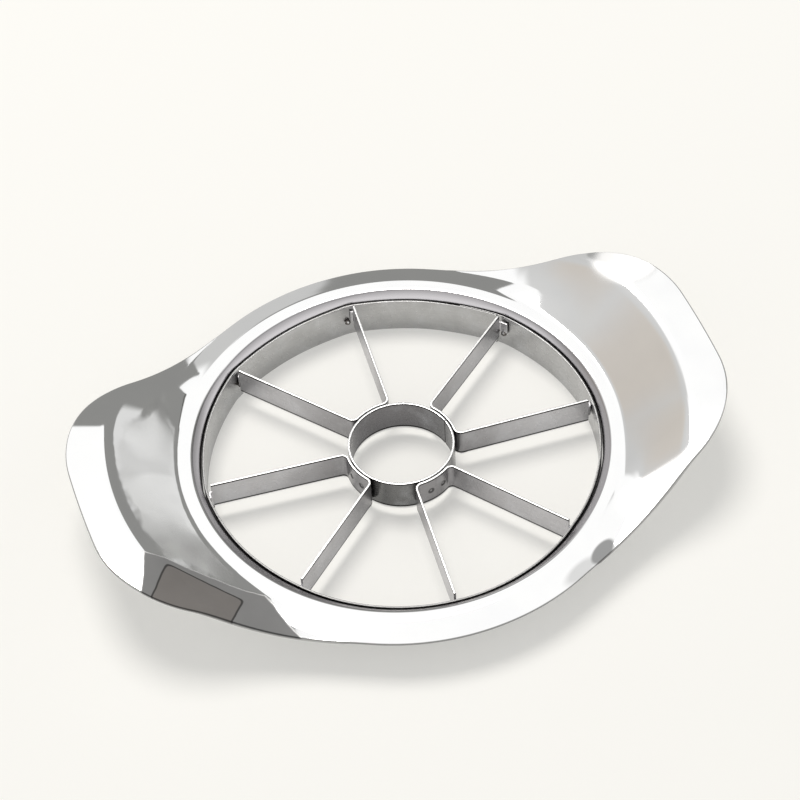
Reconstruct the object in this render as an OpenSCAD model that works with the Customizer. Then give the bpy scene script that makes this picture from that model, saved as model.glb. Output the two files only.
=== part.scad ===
// Apple slicer: a winged sheet-steel rim with eight blades standing round a coring ring.
// Millimetres. Z = 0 is the lower edge of the rim band, on which the slicer stands.
// The rim, the band and the ring share the Z axis, and the two wings point along +X and -X.

/* [Rim band] */
// Inner radius of the band, which is the cutting circle
opening_r = 44.4; // [43.4:0.1:45.4]
// Thickness of the band's strip
band_t = 0.5; // [0.4:0.1:0.7]
// Height of the band
band_h = 9.4; // [8.4:0.1:10.4]
// Direction in which the inner layer of the lap is cut off
lap_cut_angle = 40; // [40:0.1:42]
// Direction in which the outer layer ends, behind the inner one
lap_outer_end_angle = 52; // [47:0.5:52]
// Direction in which the inner layer starts to step outwards
lap_step_angle = 53; // [53:0.5:55]
// Angle over which that step runs
lap_step_sweep = 4; // [3:0.5:8]
// How much thinner and lower than the strip the step is drawn
step_thinning = 0.1; // [0.06:0.02:0.14]

/* [Pressed body] */
// Thickness of the pressed sheet
sheet_t = 1.0; // [0.7:0.1:1.2]
// Height of the lower edge of the collar round the band
collar_z = 4.4; // [1.4:0.1:7.4]
// Gap between the band and the collar
collar_gap = 0.3; // [0.2:0.05:0.4]
// Width of the slope that leads from the collar up to the crest
neck_w = 1.8; // [1.6:0.1:2.4]
// Height of the crest above the top of the band
crest_rise = 1.35; // [1:0.05:1.7]
// Width of the flat crest
crest_w = 2.6; // [2:0.1:3.2]
// Radius of the bends below and above that slope, on the upper side of the sheet
neck_bend_r = 1.4; // [1.25:0.05:1.6]
// Width of the lip that falls away outside the crest
lip_w = 5.2; // [4.6:0.1:6]
// Fall of that lip from the crest to its edge
lip_drop = 1.4; // [0.6:0.1:2]
// Length over which the bend between crest and lip is rounded
lip_blend = 1.0; // [0.6:0.1:1.2]
// Size of the small bevel on the trimmed edge of the sheet
trim_bevel = 0.2; // [0.1:0.05:0.3]

/* [Wings] */
// Distance from the axis to the tip of a wing
tip_x = 73.1; // [71:0.1:76]
// Height of a wing's flat border above the crest
wing_rise = 9.5; // [6:0.1:11]
// Distance from the crest to the bend in which a wing starts to rise
wing_foot_gap = 0.7; // [0.6:0.1:1.2]
// Horizontal run of a wing's slope
wing_run = 14; // [12:0.1:15]
// Length over which the bend at the foot of the slope is rounded
foot_blend = 1.5; // [1:0.1:1.8]
// Length over which the bend at the top of the slope is rounded
top_blend = 3.5; // [2:0.1:4]
// Angle either side of X within which a wing has its full height
wing_full_angle = 16; // [8:1:22]
// Angle either side of X at which a wing has sunk into the lip
wing_end_angle = 56; // [50:1:64]
// Radius of the rounded corners of a wing
corner_r = 26; // [20:0.5:30]
// Distance of the corner centres from the X axis
corner_y = 9.2; // [6:0.1:12]
// Radius of the slightly curved tip between two corners
crown_r = 245; // [160:5:400]

/* [Coring ring] */
// Outer radius of the ring
core_r = 12.25; // [11.25:0.05:13.25]
// Thickness of the ring's strip
core_t = 0.6; // [0.4:0.1:0.8]
// How far the ring reaches below the cutting edges of the blades
core_below = 0.9; // [0.5:0.1:1.4]
// Direction of the butt seam
seam_angle = 12.5; // [5:0.1:25]
// Width of the slit at that seam
seam_w = 0.25; // [0.1:0.05:0.5]

/* [Blade strips] */
// Thickness of the folded strips
strip_t = 0.6; // [0.4:0.1:0.8]
// Height of the blades
blade_h = 7.5; // [7:0.1:7.9]
// Height of the cutting edges
blade_z = 2.9; // [2.6:0.1:3.4]
// Direction of the middle of the first strip
strip_angle = 17.2; // [16:0.1:17.5]
// Angle between the two blades of one strip
spread = 43.5; // [42.5:0.1:43.7]
// Bend radius at the root of a blade, to the middle of the strip
root_r = 1.5; // [1.2:0.1:1.8]
// Gap between the full height of a blade and the band
blade_end_gap = 0.9; // [0.7:0.05:1.2]
// Radius of the blade's lower outer corner
blade_corner_r = 1.0; // [0.4:0.1:1.4]
// Height of the tabs that join the blades to the band
tab_h = 3.1; // [2.5:0.1:3.5]
// Height of the tabs' lower edges
tab_z = 5.0; // [4.6:0.1:5.4]
// Bend radius where a tab turns along the band, to the middle of the strip
foot_bend_r = 0.6; // [0.5:0.05:0.8]
// Length of the foot that lies along the band
foot_len = 1.6; // [1.3:0.1:2]
// Height of the bevels of the cutting edge
bevel_h = 0.8; // [0.4:0.1:1.2]
// Thickness left at the cutting edge
edge_t = 0.2; // [0.1:0.05:0.3]

/* [Welds and fits] */
// Radius of the spot-weld dimples in the webs
dimple_r = 0.9; // [0.6:0.1:1.1]
// Depth of those dimples
dimple_depth = 0.2; // [0.1:0.05:0.25]
// Angle of a dimple from the middle of its web
dimple_angle = 8; // [6:0.5:10]
// Radius of the tack welds under the feet
tack_r = 0.65; // [0.4:0.05:0.9]
// Depth to which a tack weld has sunk into the corner between foot and band
tack_sink = 0.2; // [0.1:0.05:0.3]
// Play between the blade strips and what they lie against, and between the layers of the lap
fit_gap = 0.1; // [0.05:0.05:0.15]

/* [Hidden] */
$fn = 180;
sphere_fn = 96;
cut_margin = 1;
section_step = 3;
bend_steps = 3;

core_z = blade_z - core_below;
core_h = blade_h + core_below;

collar_r = opening_r + band_t + collar_gap;
neck_z = band_h;
crest_z = neck_z + crest_rise;
crest_in_r = collar_r + neck_w;
crest_out_r = crest_in_r + crest_w;
ring_r = crest_out_r + lip_w;
wing_foot_r = crest_out_r + wing_foot_gap;
wing_top_r = wing_foot_r + wing_run;

crown_x = tip_x - crown_r;
corner_x = crown_x + sqrt(pow(crown_r - corner_r, 2) - pow(corner_y, 2));
crown_sweep = atan2(corner_y, corner_x - crown_x);
side_normal = atan2(corner_y, corner_x) + acos((ring_r - corner_r) / norm([corner_x, corner_y]));
crown_end = atan2(crown_r * sin(crown_sweep), crown_x + crown_r * cos(crown_sweep));
corner_end = atan2(corner_y + corner_r * sin(side_normal), corner_x + corner_r * cos(side_normal));

web_r = core_r + fit_gap + strip_t / 2;
foot_r = opening_r - fit_gap - strip_t / 2;
blade_end_r = opening_r - blade_end_gap;
half_spread = spread / 2;
root_turn = asin(root_r / (web_r + root_r));
foot_turn = asin(foot_bend_r / (foot_r - foot_bend_r));
foot_sweep = foot_len / foot_r * 180 / PI;
foot_middle = half_spread - foot_turn - foot_sweep / 2;

steel = [0.80, 0.81, 0.82];
satin = [0.62, 0.62, 0.61];
dark_satin = [0.50, 0.50, 0.50];
weld = [0.42, 0.41, 0.40];

// Point at distance r from the axis in direction a
function polar(r, a) = [r * cos(a), r * sin(a)];

// Body: one polar grid of sections, each running from the collar over the crest to the trimmed edge.

// Angle between a direction and the nearest wing axis, 0 to 90
function off_wing(a) = abs(asin(sin(a)));

// Distance from the axis to the trimmed edge: tip crown, corner arc, straight side, round ring
function trim_r(a) =
    let (b = off_wing(a))
    b < crown_end ? crown_x * cos(b) + sqrt(pow(crown_r, 2) - pow(crown_x * sin(b), 2)) :
    b < corner_end ? corner_x * cos(b) + corner_y * sin(b)
        + sqrt(pow(corner_r, 2) - pow(corner_x * sin(b) - corner_y * cos(b), 2)) :
    b < side_normal ? ring_r / cos(b - side_normal) :
    ring_r;

// A ramp that starts at x = 0, rounded over the length w
function ramp(x, w) = x < -w / 2 ? 0 : x > w / 2 ? x : pow(x + w / 2, 2) / (2 * w);

// A smooth step from 0 to 1
function ease(t) = let (u = max(0, min(1, t))) u * u * (3 - 2 * u);

function lip_z(r) = crest_z - lip_drop / lip_w * ramp(min(r, ring_r) - crest_out_r, lip_blend);
function wing_z(r) = crest_z + wing_rise / wing_run
    * (ramp(r - wing_foot_r, foot_blend) - ramp(r - wing_top_r, top_blend));
function wing_share(a) = 1 - ease((off_wing(a) - wing_full_angle) / (wing_end_angle - wing_full_angle));
function top_z(r, a) = lip_z(r) + wing_share(a) * (wing_z(r) - lip_z(r));

// Stations outside the crest: fixed radii at the bends, drawn together where the sheet is narrow
bend_radii = [
    for (d = [-0.5, 0, 0.5]) crest_out_r + d * lip_blend,
    wing_foot_r + 0.1 * foot_blend,
    wing_foot_r + 0.6 * foot_blend,
    (wing_foot_r + wing_top_r) / 2,
    for (d = [-0.5, -0.2, 0.1, 0.5]) wing_top_r + d * top_blend
];
function station_r(i, edge_r) =
    min(bend_radii[i], bend_radii[0] + (edge_r - trim_bevel - bend_radii[0]) * (i + 1) / (len(bend_radii) + 1));

// Arc of radius r that rounds the corner between a line of heading h0 and one of the lower heading h1
function bend(corner, h0, h1, r) =
    let (centre = corner + r / cos((h0 - h1) / 2) * polar(1, (h0 + h1) / 2 - 90))
    [for (i = [0 : bend_steps]) centre + polar(r, h0 + 90 + (h1 - h0) * i / bend_steps)];

neck_slope = atan2(crest_rise, neck_w);
neck_line = concat(
    [[collar_r, collar_z]],
    bend([collar_r, neck_z], 90, neck_slope, neck_bend_r),
    bend([crest_in_r, crest_z], neck_slope, 0, neck_bend_r)
);

// Upper line of the section in direction a, as [radius, height]
function upper_line(a) =
    let (edge_r = trim_r(a))
    concat(
        neck_line,
        [for (i = [0 : len(bend_radii) - 1]) let (r = station_r(i, edge_r)) [r, top_z(r, a)]],
        [[edge_r - trim_bevel, top_z(edge_r - trim_bevel, a)]]
    );

// Unit vector across the sheet at point i of a line, pointing to the underside
function across(line, i) =
    let (last = len(line) - 1, d = line[min(i + 1, last)] - line[max(i - 1, 0)])
    [d[1], -d[0]] / norm(d);

// Closed section: the upper line, the bevelled trimmed edge, then the underside back to the collar
function section(a) =
    let (
        line = upper_line(a),
        last = len(line) - 1,
        down = across(line, last),
        out = [-down[1], down[0]]
    )
    concat(
        line,
        [
            line[last] + trim_bevel * (out + down),
            line[last] + trim_bevel * out + (sheet_t - trim_bevel) * down
        ],
        [for (i = [last : -1 : 0]) line[i] + sheet_t * across(line, i)]
    );

module body() {
    sections = [for (a = [0 : section_step : 360 - section_step]) section(a)];
    turns = len(sections);
    size = len(sections[0]);
    points = [
        for (k = [0 : turns - 1], p = sections[k])
            [p[0] * cos(k * section_step), p[0] * sin(k * section_step), p[1]]
    ];
    faces = [
        for (k = [0 : turns - 1], i = [0 : size - 1])
            let (
                j = (i + 1) % size,
                n = (k + 1) % turns,
                quad = [k * size + i, k * size + j, n * size + j, n * size + i]
            )
            each [[quad[0], quad[1], quad[2]], [quad[0], quad[2], quad[3]]]
    ];
    color(steel)
        polyhedron(points = points, faces = faces);
}

// A strip of rectangular section bent round the Z axis
module hoop(inner_r, t, z, h, from, sweep) {
    rotate([0, 0, from])
        rotate_extrude(angle = sweep)
            translate([inner_r, z])
                square([t, h]);
}

// Rim band: one strip whose first end is stepped inwards and laps over its last end
lap_r = opening_r - fit_gap / 2 - band_t;
step_end_angle = lap_step_angle + lap_step_sweep;
join_sweep = 0.12;

module rim_band() {
    color(satin) {
        hoop(opening_r, band_t, 0, band_h, step_end_angle, 360 + lap_outer_end_angle - step_end_angle);
        hoop(lap_r, band_t, 0, band_h, lap_cut_angle, lap_step_angle - lap_cut_angle);
        translate([0, 0, step_thinning / 2])
            linear_extrude(band_h - step_thinning)
                polygon([
                    polar(lap_r + step_thinning / 2, lap_step_angle - join_sweep),
                    polar(lap_r + band_t - step_thinning / 2, lap_step_angle - join_sweep),
                    polar(opening_r + band_t - step_thinning / 2, step_end_angle + join_sweep),
                    polar(opening_r + step_thinning / 2, step_end_angle + join_sweep)
                ]);
    }
}

// Coring ring: a strip rolled up until its ends nearly meet
module core_ring() {
    seam_sweep = seam_w / core_r * 180 / PI;
    color(dark_satin)
        hoop(core_r - core_t, core_t, core_z, core_h, seam_angle + seam_sweep / 2, 360 - seam_sweep);
}

// Blade strips: foot, blade, web, blade and foot of one strip folded along a single line

function arc(centre, r, from, to, steps) =
    [for (i = [0 : steps]) centre + polar(r, from + (to - from) * i / steps)];
function without_last(list) = [for (i = [0 : len(list) - 2]) list[i]];
function reversed(list) = [for (i = [len(list) - 1 : -1 : 0]) list[i]];

// One face of half a strip, from the foot to the middle of the web.
// side is half the thickness, with its sign telling which of the two faces.
function half_face(side) =
    concat(
        without_last(arc([0, 0], foot_r - side, half_spread - foot_turn - foot_sweep,
            half_spread - foot_turn, 2)),
        arc(polar(foot_r - foot_bend_r, half_spread - foot_turn), foot_bend_r - side,
            half_spread - foot_turn, half_spread + 90, 6),
        without_last(arc(polar(web_r + root_r, half_spread - root_turn), root_r - side,
            half_spread + 90, half_spread - root_turn + 180, 8)),
        arc([0, 0], web_r + side, half_spread - root_turn, 0, 6)
    );
function whole_face(side) =
    concat(half_face(side), [for (p = reversed(without_last(half_face(side)))) [p[0], -p[1]]]);

// What is taken off round the outer end of a blade, leaving its rounded corners and its tab
module end_trim() {
    reach = 2 * blade_end_gap;
    rotate_extrude()
        difference() {
            translate([blade_end_r - blade_corner_r, blade_z - cut_margin])
                square([blade_corner_r + reach, blade_h + 2 * cut_margin]);
            translate([blade_end_r - blade_corner_r, blade_z + blade_corner_r])
                circle(blade_corner_r);
            translate([blade_end_r - blade_corner_r - cut_margin, blade_z + blade_corner_r])
                square([blade_corner_r + cut_margin, blade_h]);
            translate([blade_end_r - blade_corner_r, tab_z])
                square([blade_corner_r + 2 * reach, tab_h]);
        }
}

// The two wedges ground off the cutting edge of the blade in direction a
module edge_bevels(a) {
    bevel_start = web_r + root_r + strip_t;
    for (side = [0, 1])
        rotate([0, 0, a])
            mirror([0, side, 0])
                translate([bevel_start, 0, 0])
                    rotate([90, 0, 90])
                        linear_extrude(blade_end_r - bevel_start + cut_margin)
                            polygon([
                                [edge_t / 2, blade_z],
                                [strip_t / 2, blade_z + bevel_h],
                                [strip_t / 2 + cut_margin, blade_z + bevel_h],
                                [strip_t / 2 + cut_margin, blade_z - cut_margin],
                                [edge_t / 2, blade_z - cut_margin]
                            ]);
}

module weld_dimples() {
    ball_r = (pow(dimple_r, 2) + pow(dimple_depth, 2)) / (2 * dimple_depth);
    for (a = [-dimple_angle, dimple_angle])
        rotate([0, 0, a])
            translate([web_r + strip_t / 2 - dimple_depth + ball_r, 0, blade_z + blade_h / 2])
                sphere(ball_r, $fn = sphere_fn);
}

module blade_strip(number) {
    color(satin)
        rotate([0, 0, strip_angle + 90 * number])
            difference() {
                translate([0, 0, blade_z])
                    linear_extrude(blade_h)
                        polygon(concat(whole_face(strip_t / 2), reversed(whole_face(-strip_t / 2))));
                end_trim();
                edge_bevels(half_spread);
                edge_bevels(-half_spread);
                weld_dimples();
            }
}

module blade_strip_right() {
    blade_strip(0);
}

module blade_strip_back() {
    blade_strip(1);
}

module blade_strip_left() {
    blade_strip(2);
}

module blade_strip_front() {
    blade_strip(3);
}

// Tack welds: a bead in the corner between the lower edge of each foot and the band
module tack_welds() {
    color(weld)
        for (number = [0 : 3], side = [-1, 1])
            rotate([0, 0, strip_angle + 90 * number + side * foot_middle])
                intersection() {
                    translate([opening_r - tack_r + tack_sink, 0, tab_z - tack_r + tack_sink])
                        sphere(tack_r, $fn = sphere_fn);
                    translate([0, 0, tab_z - 2 * tack_r])
                        cylinder(r = opening_r, h = 2 * tack_r);
                }
}

body();
rim_band();
core_ring();
blade_strip_right();
blade_strip_back();
blade_strip_left();
blade_strip_front();
tack_welds();
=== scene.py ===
"""The looks of the apple slicer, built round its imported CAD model. Sizes are in mm until a mesh
is made. Directions are in degrees, counter-clockwise from +X."""
from collections import namedtuple
from math import acos, asin, atan2, cos, degrees, hypot, pi, radians, sin, sqrt

import bmesh
import bpy
from mathutils import Matrix, Vector, noise


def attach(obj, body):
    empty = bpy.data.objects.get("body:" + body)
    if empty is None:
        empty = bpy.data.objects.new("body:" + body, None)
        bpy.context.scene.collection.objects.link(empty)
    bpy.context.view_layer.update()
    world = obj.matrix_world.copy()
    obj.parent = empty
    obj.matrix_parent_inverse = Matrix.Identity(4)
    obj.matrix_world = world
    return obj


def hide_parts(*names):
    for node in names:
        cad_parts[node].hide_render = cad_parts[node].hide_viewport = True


MM = 0.001

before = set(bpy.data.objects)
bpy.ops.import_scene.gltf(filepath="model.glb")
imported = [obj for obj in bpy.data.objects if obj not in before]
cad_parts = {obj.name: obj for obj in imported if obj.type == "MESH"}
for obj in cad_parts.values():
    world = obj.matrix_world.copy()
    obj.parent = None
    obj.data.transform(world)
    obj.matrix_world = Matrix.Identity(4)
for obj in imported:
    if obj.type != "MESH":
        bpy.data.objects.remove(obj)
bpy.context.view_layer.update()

# Sizes, the same as in the CAD model

OPENING_R, BAND_T, BAND_H = 44.4, 0.5, 9.4
LAP_CUT, LAP_OUTER_END, LAP_STEP = 40.0, 52.0, 53.0
FIT_GAP, COLLAR_GAP = 0.1, 0.3
SHEET_T, COLLAR_Z = 1.0, 4.4
COLLAR_R = OPENING_R + BAND_T + COLLAR_GAP
CREST_Z = BAND_H + 1.35
CREST_IN_R = COLLAR_R + 1.8
CREST_OUT_R = CREST_IN_R + 2.6
NECK_BEND_R = 1.4
LIP_W, LIP_DROP = 5.2, 1.4
RING_R = CREST_OUT_R + LIP_W
TIP_X, WING_RISE, WING_RUN = 73.1, 9.5, 14.0
WING_FOOT_R = CREST_OUT_R + 0.7
WING_TOP_R = WING_FOOT_R + WING_RUN
FOOT_BLEND, TOP_BLEND = 1.5, 3.5
FULL_ANGLE, END_ANGLE = 16.0, 56.0
CORNER_R, CORNER_Y, CROWN_R = 26.0, 9.2, 245.0
CORE_Z, CORE_H, SEAM_ANGLE, SEAM_W = 2.0, 8.4, 12.5, 0.25
BLADE_H, BLADE_Z = 7.5, 2.9
STRIP_ANGLE, ROOT_R = 17.2, 1.5
BLADE_END_GAP, BLADE_CORNER_R = 0.9, 1.0
TAB_H, TAB_Z, FOOT_BEND_R = 3.1, 5.0, 0.6
BEVEL_H, EDGE_T = 0.8, 0.2
DIMPLE_R, DIMPLE_DEPTH = 0.9, 0.2
TACK_R, TACK_SINK = 0.65, 0.2

# Where the real pieces lie a little off the even pattern of the CAD model

# A blade has the direction of its line and the line's distance from the axis, how far the band
# bulges there and halfway to the next blade, and the length of its foot. The rows run
# counter-clockwise from the upper right blade.
Blade = namedtuple("Blade", "angle off bulge next_bulge foot")
BLADES = (
    Blade(39.05, -0.11, 0.55, -0.45, 1.5),
    Blade(85.85, -0.82, 0.20, -0.55, 0.3),
    Blade(128.95, -0.24, 0.30, -0.40, 0.6),
    Blade(175.05, -0.14, 0.00, -0.38, 1.2),
    Blade(221.05, -0.04, -0.28, 0.30, 1.2),
    Blade(265.75, 0.05, 0.58, 0.60, 1.2),
    Blade(307.75, 0.27, 0.05, 0.25, 1.2),
    Blade(356.85, -1.58, 0.65, 0.55, 0.9),
)
SPAN_FULLNESS = 2.5                     # 2 is a parabola between two blades, more is fuller
CORNER_BLUR = (-1.2, -0.4, 0.4, 1.2)    # turns over which the bulge is averaged
SEEN_T = 0.5                            # thickness of the thin strips
SEEN_CORE_R = 12.0
SEEN_CORE_AT = Vector((0.25, -0.33))    # where the ring's middle lies
SEEN_WEB_GAP = 0.3
SEEN_LIP_BLEND = 0.6
SEEN_CREST_AT = Vector((0.2, -0.25))    # where the middle of the crest's inner edge lies

# The band laps over itself, and both its ends grow thinner over this sweep. The inner end is
# left this thick, and reaches this far inside the opening.
SEEN_STEP_SWEEP, SEEN_LAP_T, SEEN_LAP_IN = 14.0, 0.3, 0.1

# Directions of the dimples from the middle of each web
DIMPLES = ((-8.0, 8.0), (-8.0, 8.0), (-8.0, 8.0), (-6.0, 9.4))


# Mesh helpers

def polar(r, a):
    return Vector((r * cos(radians(a)), r * sin(radians(a))))


def ease(t):
    """A smooth step that goes from 0 to 1 as t does."""
    u = max(0.0, min(1.0, t))
    return u * u * (3 - 2 * u)


def add_object(name, points, faces, crease=40.0, **tones):
    """A smooth-shaded mesh object from points in mm, sharp only beyond the crease angle. Each
    named tone holds one value per point."""
    mesh = bpy.data.meshes.new(name)
    mesh.from_pydata([Vector(p) * MM for p in points], [], faces)
    bm = bmesh.new()
    bm.from_mesh(mesh)
    bmesh.ops.recalc_face_normals(bm, faces=bm.faces)
    bm.to_mesh(mesh)
    bm.free()
    mesh.polygons.foreach_set("use_smooth", [True] * len(mesh.polygons))
    mesh.set_sharp_from_angle(angle=radians(crease))
    for tone, values in tones.items():
        mesh.attributes.new(tone, "FLOAT", "POINT").data.foreach_set("value", values)
    obj = bpy.data.objects.new(name, mesh)
    bpy.context.scene.collection.objects.link(obj)
    return obj


def tube_faces(rows, size, closed):
    """Quads between neighbouring rows of points, each row a closed loop of the given size."""
    faces = []
    for k in range(rows if closed else rows - 1):
        n = (k + 1) % rows
        for i in range(size):
            j = (i + 1) % size
            faces.append((k * size + i, k * size + j, n * size + j, n * size + i))
    return faces


def fillet(before, corner, after, radius, steps):
    """Points of the arc that rounds a corner of a polyline."""
    u = (before - corner).normalized()
    v = (after - corner).normalized()
    half = acos(max(-1.0, min(1.0, u.dot(v)))) / 2
    centre = corner + (u + v).normalized() * (radius / sin(half))
    start = corner + u * (radius * cos(half) / sin(half)) - centre
    end = corner + v * (radius * cos(half) / sin(half)) - centre
    a0, a1 = atan2(start.y, start.x), atan2(end.y, end.x)
    turn = (a1 - a0 + pi) % (2 * pi) - pi
    return [centre + radius * Vector((cos(a0 + turn * i / steps), sin(a0 + turn * i / steps)))
            for i in range(steps + 1)]


def span_bulge(a):
    """The bulge in direction a, which has corners at the blades."""
    for blade, after in zip(BLADES, BLADES[1:] + BLADES[:1]):
        t = ((a - blade.angle) % 360) / ((after.angle - blade.angle) % 360)
        if t <= 1:
            chord = blade.bulge + (after.bulge - blade.bulge) * t
            arch = blade.next_bulge - (blade.bulge + after.bulge) / 2
            return chord + arch * (1 - abs(2 * t - 1) ** SPAN_FULLNESS)
    return 0.0


def bulge(a):
    """How far the band lies outside its CAD radius in direction a, with softened corners."""
    return sum(span_bulge(a + turn) for turn in CORNER_BLUR) / len(CORNER_BLUR)


# The pressed body

# From the middle of a wing the outline runs along the crown's arc, the corner's arc and a
# straight side to the lip's circle. The directions where these meet are in radians.
crown_x = TIP_X - CROWN_R
corner_x = crown_x + sqrt((CROWN_R - CORNER_R) ** 2 - CORNER_Y ** 2)
crown_sweep = atan2(CORNER_Y, corner_x - crown_x)
side_normal = atan2(CORNER_Y, corner_x) + acos((RING_R - CORNER_R) / hypot(corner_x, CORNER_Y))
crown_end = atan2(CROWN_R * sin(crown_sweep), crown_x + CROWN_R * cos(crown_sweep))
corner_end = atan2(CORNER_Y + CORNER_R * sin(side_normal), corner_x + CORNER_R * cos(side_normal))


def off_wing(a):
    """The angle in radians between direction a and the middle of the nearer wing."""
    return abs(asin(max(-1.0, min(1.0, sin(radians(a))))))


def trim_r(a):
    """Radius of the trimmed outline in direction a."""
    b = off_wing(a)
    if b < crown_end:
        return crown_x * cos(b) + sqrt(CROWN_R ** 2 - (crown_x * sin(b)) ** 2)
    if b < corner_end:
        beside = corner_x * sin(b) - CORNER_Y * cos(b)
        return corner_x * cos(b) + CORNER_Y * sin(b) + sqrt(CORNER_R ** 2 - beside ** 2)
    if b < side_normal:
        return RING_R / cos(b - side_normal)
    return RING_R


def ramp(x, w):
    """The larger of 0 and x, with the corner rounded over the width w."""
    return 0.0 if x < -w / 2 else x if x > w / 2 else (x + w / 2) ** 2 / (2 * w)


def wing_share(a):
    return 1 - ease((degrees(off_wing(a)) - FULL_ANGLE) / (END_ANGLE - FULL_ANGLE))


def top_z(r, a):
    """Height of the sheet's upper side outside the crest."""
    lip = CREST_Z - LIP_DROP / LIP_W * ramp(min(r, RING_R) - CREST_OUT_R, SEEN_LIP_BLEND)
    risen = ramp(r - WING_FOOT_R, FOOT_BLEND) - ramp(r - WING_TOP_R, TOP_BLEND)
    wing = CREST_Z + WING_RISE / WING_RUN * risen
    return lip + wing_share(a) * (wing - lip)


BODY_TURNS = 512
LOW_BEND_STEPS, HIGH_BEND_STEPS, EDGE_STEPS = 8, 10, 5
WALL_STEPS = (0.3, 0.6, 0.8, 0.9, 0.96)
FOOT_ROUND, FOOT_ROUND_MID = 0.2, 0.06  # the rounded foot of the collar, and its middle point
FOOT_POINTS = 3
TRIM_ROUND, TRIM_INSET = 0.22, 0.01
EDGE_ROWS = (0.4, 0.1, 0.0)             # last rows before the edge, where the sheet stays flat

# Each run of rows from the crest to the edge has its first radius and the number of its rows,
# which stand closer at the bends.
RUNS = ((CREST_OUT_R - 0.6, 2), (CREST_OUT_R - 0.3, 18), (51.2, 16), (62.3, 18), (66.3, 7),
        (72.7, 0))
BEND_RADII = [start + (stop - start) * i / count
              for (start, count), (stop, _) in zip(RUNS, RUNS[1:]) for i in range(count)]

# Painted shade in the crevice under the neck, along the crest's inner edge, and on the trimmed edge
CREVICE_FADE, FRONT_SHADE = 2.5, 0.2
CREST_SHADE_FRONT, CREST_SHADE_BACK, CREST_SHADE_AT, CREST_SHADE_W = 0.1, 0.3, 0.2, 0.25
NECK_END, NECK_FADE = 0.25, 0.3         # where the satin neck ends, as shares of the high bend
EDGE_SHADE = (0.3, 0.6, 0.8, 0.8, 0.7) + (0.45,) * EDGE_STEPS + (0.0,)

WAVE_H, WAVE_L = 0.03, 12.0
WAVE_START_R, WAVE_FADE = 51.0, 6.0
WAVE_SEED = Vector((3.1, 7.7, 0.0))


def upper_line(a):
    """The section's upper side in direction a, from the foot of the collar to the start of the
    rounded edge. Each entry is a point, its share of the satin neck and its share of painted shade."""
    edge = trim_r(a) - TRIM_INSET - TRIM_ROUND
    collar = COLLAR_R + bulge(a)
    back = (1 + sin(radians(a))) / 2
    low, neck = Vector((collar, COLLAR_Z + FOOT_ROUND)), Vector((collar, BAND_H))
    crest = Vector((CREST_IN_R + polar(1, a).dot(SEEN_CREST_AT), CREST_Z))
    out = Vector((CREST_OUT_R, CREST_Z))
    low_bend = fillet(low, neck, crest, NECK_BEND_R, LOW_BEND_STEPS)
    high_bend = fillet(neck, crest, out, NECK_BEND_R, HIGH_BEND_STEPS)
    # The collar's wall in the crevice gets full painted shade, which fades up the bends, and the
    # crest's inner edge gets painted shade, more at the back
    line = [(Vector((collar + FOOT_ROUND, COLLAR_Z)), 1.0, 0.3),
            (Vector((collar + FOOT_ROUND_MID, COLLAR_Z + FOOT_ROUND_MID)), 1.0, 0.5),
            (low, 1.0, 1.0)]
    line += [(low.lerp(low_bend[0], t), 1.0, 1.0) for t in WALL_STEPS]
    for i, p in enumerate(low_bend):
        t = i / LOW_BEND_STEPS
        line.append((p, 1.0, max(1 - CREVICE_FADE * t, FRONT_SHADE * (1 - back) * (1 - t))))
    for i, p in enumerate(high_bend):
        t = i / HIGH_BEND_STEPS
        dirt = CREST_SHADE_FRONT + CREST_SHADE_BACK * back
        dirt *= 1 - ease(abs(t - CREST_SHADE_AT) / CREST_SHADE_W)
        line.append((p, 1 - ease((t - NECK_END) / NECK_FADE), dirt))
    first, count = BEND_RADII[0], len(BEND_RADII)
    for i, fixed in enumerate(BEND_RADII):
        r = min(fixed, first + (edge - EDGE_ROWS[0] - first) * (i + 1) / (count + 1))
        line.append((Vector((r, top_z(r, a))), 0.0, 0.0))
    line += [(Vector((edge - x, top_z(edge - x, a))), 0.0, 0.0) for x in EDGE_ROWS]
    return line


def body_section(a):
    """The closed section in direction a, over the upper side and back along the lower side, with
    the entries of upper_line."""
    toned = upper_line(a)
    line = [p for p, neck, dirt in toned]
    last = len(line) - 1
    down = []
    for i in range(len(line)):
        d = line[min(i + 1, last)] - line[max(i - 1, 0)]
        down.append(Vector((d.y, -d.x)).normalized())
    dn = down[last]
    out = Vector((-dn.y, dn.x))
    turns = [radians(90 * i / EDGE_STEPS) for i in range(EDGE_STEPS + 1)]
    edge = [line[last] + TRIM_ROUND * (sin(t) * out + (1 - cos(t)) * dn) for t in turns[1:]]
    for t in turns:
        drop = SHEET_T - TRIM_ROUND + TRIM_ROUND * sin(t)
        edge.append(line[last] + drop * dn + TRIM_ROUND * cos(t) * out)
    under = [line[i] + SHEET_T * down[i] for i in range(last - 1, FOOT_POINTS - 1, -1)]
    outer = line[0].x - FOOT_ROUND + SHEET_T
    foot = [Vector((outer, COLLAR_Z + FOOT_ROUND)),
            Vector((outer - FOOT_ROUND_MID, COLLAR_Z + FOOT_ROUND_MID)),
            Vector((outer - FOOT_ROUND, COLLAR_Z))]
    # The rounded trimmed edge gets painted shade
    return (toned + [(p, 0.0, share) for p, share in zip(edge, EDGE_SHADE)]
            + [(p, 0.0, 0.0) for p in under + foot])


def sheet_wave(p):
    """Slight unevenness of the pressed sheet, downward only, and none on the crest and neck."""
    share = ease((hypot(p.x, p.y) - WAVE_START_R) / WAVE_FADE)
    wave = noise.noise(Vector((p.x, p.y, 0.0)) / WAVE_L + WAVE_SEED)
    return WAVE_H * share * (wave - 1)


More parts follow.
